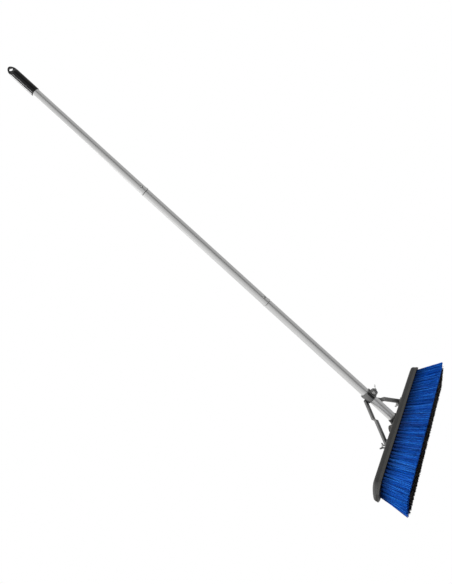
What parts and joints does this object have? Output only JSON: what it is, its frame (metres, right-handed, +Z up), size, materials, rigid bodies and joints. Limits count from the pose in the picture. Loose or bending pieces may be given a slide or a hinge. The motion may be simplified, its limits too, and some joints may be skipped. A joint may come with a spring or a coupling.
{
  "type": "braced push broom",
  "caption": "Push brush with a long bristle block, blue flagged bristles round a black core, and a jointed aluminium pole held at a lean by a bolted two-arm brace.",
  "frame": {"origin": "middle of the bristle field, at the level of the bristle tips", "axes": "+X along the block, +Z up from the tips towards the block; the pole leans out towards -Y and rises"},
  "size_m": [0.636, 1.0328, 1.3223],
  "materials": {
    "block_plastic": "satin moulded, fine grain",
    "blue_bristle": "extruded synthetic filament, flagged ends",
    "black_bristle": "extruded synthetic filament, stiff",
    "aluminium": "drawn, satin anodised",
    "nylon": "moulded",
    "vinyl": "dipped vinyl, glossy",
    "brace_steel": "stamped, dark zinc",
    "zinc": "bright zinc plated",
    "spring_steel": "blued strip",
    "liner_rubber": "ribbed, matte"
  },
  "bodies": {
    "root": {"block": "block_plastic", "front_blue_bristles": "blue_bristle", "back_blue_bristles": "blue_bristle", "left_end_bristles": "blue_bristle", "right_end_bristles": "blue_bristle", "black_core_bristles": "black_bristle", "lower_pole_tube": "aluminium", "middle_pole_tube": "aluminium", "upper_pole_tube": "aluminium", "threaded_tip": "nylon", "lower_button_spring": "spring_steel", "upper_button_spring": "spring_steel", "hand_grip": "vinyl", "clamp_liner": "liner_rubber", "right_brace_arm": "brace_steel", "left_brace_arm": "brace_steel", "clamp_bolt": "zinc", "clamp_washer": "zinc", "left_foot_bolt": "zinc", "left_foot_washer": "zinc", "right_foot_bolt": "zinc", "right_foot_washer": "zinc"},
    "lower_snap_button": {"lower_snap_button": "zinc"},
    "upper_snap_button": {"upper_snap_button": "zinc"},
    "clamp_wing_nut": {"clamp_wing_nut": "zinc"},
    "left_foot_wing_nut": {"left_foot_wing_nut": "zinc"},
    "right_foot_wing_nut": {"right_foot_wing_nut": "zinc"}
  },
  "joints": [
    {"name": "lower_button_press", "type": "slide", "parent": "root", "child": "lower_snap_button", "axis": [0.342, 0.7344, 0.5863], "range_m": [0, 0.0044], "stiffness_N_per_m": 2000, "springref_m": -0.002},
    {"name": "upper_button_press", "type": "slide", "parent": "root", "child": "upper_snap_button", "axis": [0.5592, 0.6479, 0.5172], "range_m": [0, 0.0044], "stiffness_N_per_m": 2000, "springref_m": -0.002},
    {"name": "clamp_nut_turn", "type": "hinge", "parent": "root", "child": "clamp_wing_nut", "pos_m": [0.026, -0.08638, 0.15633], "axis": [1, 0, 0], "continuous": true},
    {"name": "left_foot_nut_turn", "type": "hinge", "parent": "root", "child": "left_foot_wing_nut", "pos_m": [-0.089, 0.012, 0.105], "axis": [0, 0, 1], "continuous": true},
    {"name": "right_foot_nut_turn", "type": "hinge", "parent": "root", "child": "right_foot_wing_nut", "pos_m": [0.121, 0.012, 0.105], "axis": [0, 0, 1], "continuous": true}
  ]
}
